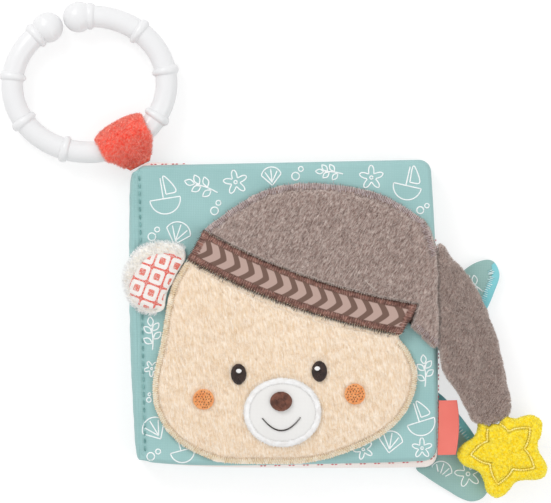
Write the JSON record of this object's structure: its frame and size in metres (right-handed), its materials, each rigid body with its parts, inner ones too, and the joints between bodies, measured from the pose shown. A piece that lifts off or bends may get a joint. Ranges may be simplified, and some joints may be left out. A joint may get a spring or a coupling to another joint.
{
  "type": "cloth baby book",
  "caption": "Padded cloth baby book with a plush bear face and cap, a star on the cap's tail, an ear, fins, a bare ribbon tab, and a link ring on a hanging loop.",
  "frame": {"origin": "centre of the back cover's flat underside", "axes": "+Z out of the front cover, +X from the spine to the fore-edge, +Y to the top of the cover"},
  "size_m": [0.2377, 0.2244, 0.0271],
  "materials": {
    "teal_cotton": "matte",
    "lining_cotton": "matte",
    "wadding": "matte",
    "crinkle_foil": "satin",
    "turquoise_edging": "matte",
    "cream_plush": "matte",
    "brown_plush": "matte",
    "woven_band": "matte",
    "printed_patch": "matte",
    "muzzle_cloth": "matte",
    "brown_thread": "satin",
    "dark_thread": "satin",
    "white_thread": "satin",
    "orange_thread": "satin",
    "yellow_terry": "matte",
    "coral_ribbon": "satin",
    "coral_plush": "matte",
    "white_plastic": "gloss"
  },
  "bodies": {
    "back_cover": {"back_cover_cloth": "teal_cotton", "back_cover_lining": "lining_cotton", "back_cover_wadding": "wadding", "spine_cloth_lower": "teal_cotton"},
    "leaf": {"leaf_front_cloth": "lining_cotton", "leaf_back_cloth": "lining_cotton", "leaf_crinkle_foil": "crinkle_foil", "leaf_wadding": "wadding", "spine_cloth_upper": "teal_cotton"},
    "front_cover": {"front_cover_cloth": "teal_cotton", "front_cover_lining": "lining_cotton", "front_cover_wadding": "wadding", "face_plush": "cream_plush", "face_wadding": "wadding", "squeaker": "white_plastic", "muzzle_patch": "muzzle_cloth", "nose": "brown_thread", "mouth": "dark_thread", "eye_left": "dark_thread", "eye_right": "dark_thread", "eye_glint_left": "white_thread", "eye_glint_right": "white_thread", "cheek_left": "orange_thread", "cheek_right": "orange_thread", "cap_crown": "brown_plush", "cap_band": "woven_band"},
    "ear": {"ear_fur": "cream_plush", "ear_patch": "printed_patch"},
    "cap_tail": {"cap_tail_front": "brown_plush", "cap_tail_back": "brown_plush", "cap_tail_wadding": "wadding"},
    "star": {"star_front": "yellow_terry", "star_back": "yellow_terry", "star_wadding": "wadding"},
    "upper_fin": {"upper_fin_cloth": "teal_cotton", "upper_fin_edging": "turquoise_edging"},
    "lower_fin": {"lower_fin_cloth": "teal_cotton", "lower_fin_edging": "turquoise_edging"},
    "ribbon_tab": {"ribbon_tab": "coral_ribbon"},
    "hanging_loop": {"hanging_loop": "coral_plush"},
    "link_ring": {"link_ring": "white_plastic"}
  },
  "joints": [
    {"name": "leaf_turn", "type": "hinge", "parent": "back_cover", "child": "leaf", "pos_m": [-0.0688, 0, 0.00565], "axis": [0, -1, 0], "range_deg": [0, 175], "deforming": ["spine_cloth_lower"]},
    {"name": "cover_open", "type": "hinge", "parent": "leaf", "child": "front_cover", "pos_m": [-0.0688, 0, 0.01095], "axis": [0, 1, 0], "range_deg": [-175, 0], "deforming": ["spine_cloth_upper"]},
    {"name": "ear_flap", "type": "hinge", "parent": "front_cover", "child": "ear", "pos_m": [-0.0492, 0.0132, 0.0216], "axis": [0.3887, 0.9214, 0], "range_deg": [0, 85]},
    {"name": "tail_flap", "type": "hinge", "parent": "front_cover", "child": "cap_tail", "pos_m": [0.06785, 0, 0.02], "axis": [0, -1, 0], "range_deg": [0, 120]},
    {"name": "star_swing", "type": "hinge", "parent": "cap_tail", "child": "star", "pos_m": [0.08995, -0.0516, 0.0151], "axis": [-1, 0, 0], "range_deg": [0, 75]},
    {"name": "upper_fin_flap", "type": "hinge", "parent": "back_cover", "child": "upper_fin", "pos_m": [0.06775, 0.001, 0.0005], "axis": [0, -1, 0], "range_deg": [-50, 3]},
    {"name": "lower_fin_flap", "type": "hinge", "parent": "back_cover", "child": "lower_fin", "pos_m": [0.06775, -0.05, 0.0005], "axis": [0, -1, 0], "range_deg": [-40, 3]},
    {"name": "tab_flap", "type": "hinge", "parent": "front_cover", "child": "ribbon_tab", "pos_m": [0.0668, -0.053, 0.01475], "axis": [0, -1, 0], "range_deg": [-35, 60]},
    {"name": "loop_flex", "type": "hinge", "parent": "back_cover", "child": "hanging_loop", "pos_m": [-0.06209, 0.06509, 0.0055], "axis": [0.8949, 0.4462, 0], "range_deg": [-40, 35]},
    {"name": "ring_swing", "type": "hinge", "parent": "hanging_loop", "child": "link_ring", "pos_m": [-0.06771, 0.07636, 0.0085], "axis": [0.8949, 0.4462, 0], "range_deg": [-60, 110]}
  ]
}
